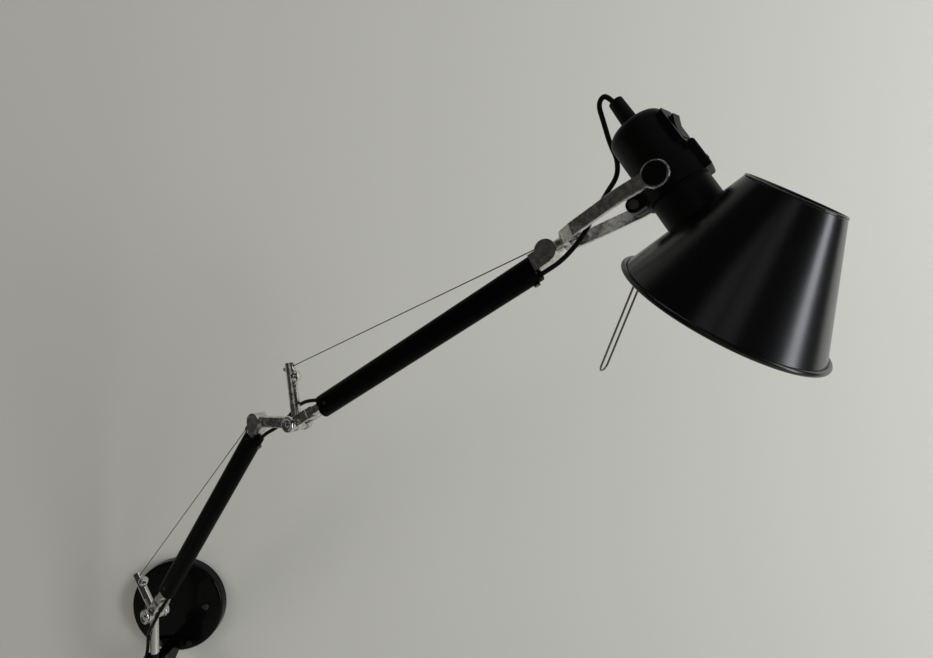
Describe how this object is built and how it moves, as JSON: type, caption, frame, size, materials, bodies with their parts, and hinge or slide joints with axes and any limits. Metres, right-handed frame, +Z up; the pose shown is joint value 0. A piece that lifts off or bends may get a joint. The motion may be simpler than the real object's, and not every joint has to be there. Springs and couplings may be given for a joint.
{
  "type": "wall lamp",
  "caption": "Spring-balanced articulating wall lamp: black conical shade in an aluminium fork on two black tube arms with steel cables, and a round black wall plate",
  "frame": {"origin": "centre of the round wall plate's back face, on the wall", "axes": "+Y into the wall, +Z up, +X to the right for someone who faces the wall; the lamp stands out towards -Y"},
  "size_m": [0.5734, 0.3754, 0.5172],
  "materials": {
    "gloss_black": "glossy black enamel",
    "black_tube": "satin black anodised tube",
    "shade_black": "semi-gloss black enamel",
    "polished_aluminium": "cast and polished",
    "chrome": "bright plated",
    "zinc_steel": "zinc plated",
    "steel_wire": "stranded or drawn steel wire",
    "brass": "turned bush",
    "black_screws": "blackened steel",
    "black_plastic": "fine satin black moulding",
    "black_rubber": "soft gland",
    "cord_black": "round black cord",
    "grey_nylon": "moulded wheel",
    "white_plastic": "heat-proof moulding",
    "opal_glass": "opal, unlit"
  },
  "bodies": {
    "wall": {"wall_plate": "gloss_black", "mounting_strip": "zinc_steel", "plate_screws": "chrome", "terminal_block": "white_plastic", "bracket": "gloss_black", "bracket_screws": "black_screws", "rod_bush": "brass", "cord_wall": "cord_black"},
    "stem": {"stem_rod": "chrome", "stem_lever_screw": "chrome", "rod_clip": "zinc_steel", "stem_collar": "gloss_black", "cord_stem": "cord_black"},
    "lower_arm": {"lower_clevis": "polished_aluminium", "lower_axle": "zinc_steel", "lower_pivot_knobs": "chrome", "lower_tube": "black_tube", "lower_spring_anchor": "zinc_steel", "lower_spring": "zinc_steel", "lower_cable": "steel_wire", "lower_wheel_pin": "zinc_steel", "lower_end_cap": "polished_aluminium", "elbow_link": "polished_aluminium", "elbow_link_pin": "zinc_steel", "elbow_lever_screw": "chrome", "lower_cap_screw": "black_screws", "cord_lower": "cord_black"},
    "lower_wheel": {"lower_guide_wheel": "grey_nylon"},
    "upper_arm": {"upper_clevis": "polished_aluminium", "upper_axle": "zinc_steel", "upper_pivot_knobs": "chrome", "upper_tube": "black_tube", "upper_spring_anchor": "zinc_steel", "upper_spring": "zinc_steel", "upper_cable": "steel_wire", "upper_wheel_pin": "zinc_steel", "upper_end_cap": "polished_aluminium", "upper_cap_screw": "black_screws", "cord_upper": "cord_black", "fork_bolt": "zinc_steel", "fork_washer": "zinc_steel"},
    "upper_wheel": {"upper_guide_wheel": "grey_nylon"},
    "fork": {"fork": "polished_aluminium", "cord_wrist": "cord_black"},
    "collar": {"tilt_collar": "black_plastic", "clamp_screw": "zinc_steel", "collar_set_screw": "zinc_steel", "tilt_caps": "black_plastic", "cord_tilt": "cord_black"},
    "head": {"socket_housing": "black_plastic", "cord_gland": "black_rubber", "switch_body": "black_plastic", "rocker_pin": "zinc_steel", "lamp_holder": "white_plastic", "shade_ring": "black_plastic", "bulb": "opal_glass", "shade": "shade_black", "shade_handle": "steel_wire", "cord_head": "cord_black"},
    "rocker": {"switch_rocker": "black_plastic"}
  },
  "joints": [
    {"name": "base_swing", "type": "hinge", "parent": "wall", "child": "stem", "pos_m": [0, -0.056, -0.045], "axis": [0, 0, -1], "range_deg": [-25, 145], "deforming": ["cord_stem"]},
    {"name": "shoulder_hinge", "type": "hinge", "parent": "stem", "child": "lower_arm", "pos_m": [0, -0.056, 0.015], "axis": [-0.5, -0.866, 0], "range_deg": [-60, 40], "deforming": ["cord_lower", "lower_cable", "lower_spring"]},
    {"name": "lower_wheel_turn", "type": "hinge", "parent": "lower_arm", "child": "lower_wheel", "pos_m": [0.13501, -0.13395, 0.22563], "axis": [-0.5, -0.866, 0], "range_deg": [-345, 515]},
    {"name": "elbow_hinge", "type": "hinge", "parent": "lower_arm", "child": "upper_arm", "pos_m": [0.17762, -0.15855, 0.228], "axis": [-0.5, -0.866, 0], "range_deg": [-75, 30], "deforming": ["cord_upper", "upper_cable", "upper_spring"]},
    {"name": "upper_wheel_turn", "type": "hinge", "parent": "upper_arm", "child": "upper_wheel", "pos_m": [0.37457, -0.27226, 0.3582], "axis": [-0.5, -0.866, 0], "range_deg": [-285, 705]},
    {"name": "fork_swivel", "type": "hinge", "parent": "upper_arm", "child": "fork", "pos_m": [0.38555, -0.27859, 0.36414], "axis": [0.7842, -0.4528, 0.4242], "range_deg": [-90, 90], "deforming": ["cord_wrist"]},
    {"name": "head_tilt", "type": "hinge", "parent": "fork", "child": "collar", "pos_m": [0.4373, -0.30848, 0.39214], "axis": [-0.5, -0.866, 0], "range_deg": [-18, 60], "deforming": ["cord_tilt"]},
    {"name": "head_turn", "type": "hinge", "parent": "collar", "child": "head", "pos_m": [0.44082, -0.3105, 0.39471], "axis": [0.464, -0.2679, -0.8443], "range_deg": [-60, 60], "deforming": ["cord_head"]},
    {"name": "switch_rock", "type": "hinge", "parent": "head", "child": "rocker", "pos_m": [0.44067, -0.31458, 0.4208], "axis": [-0.6517, -0.7489, -0.1205], "range_deg": [0, 13]}
  ],
  "couplings": [
    {"joint": "lower_wheel_turn", "follows": "shoulder_hinge", "ratio": -8.34},
    {"joint": "upper_wheel_turn", "follows": "elbow_hinge", "ratio": -9.29}
  ]
}
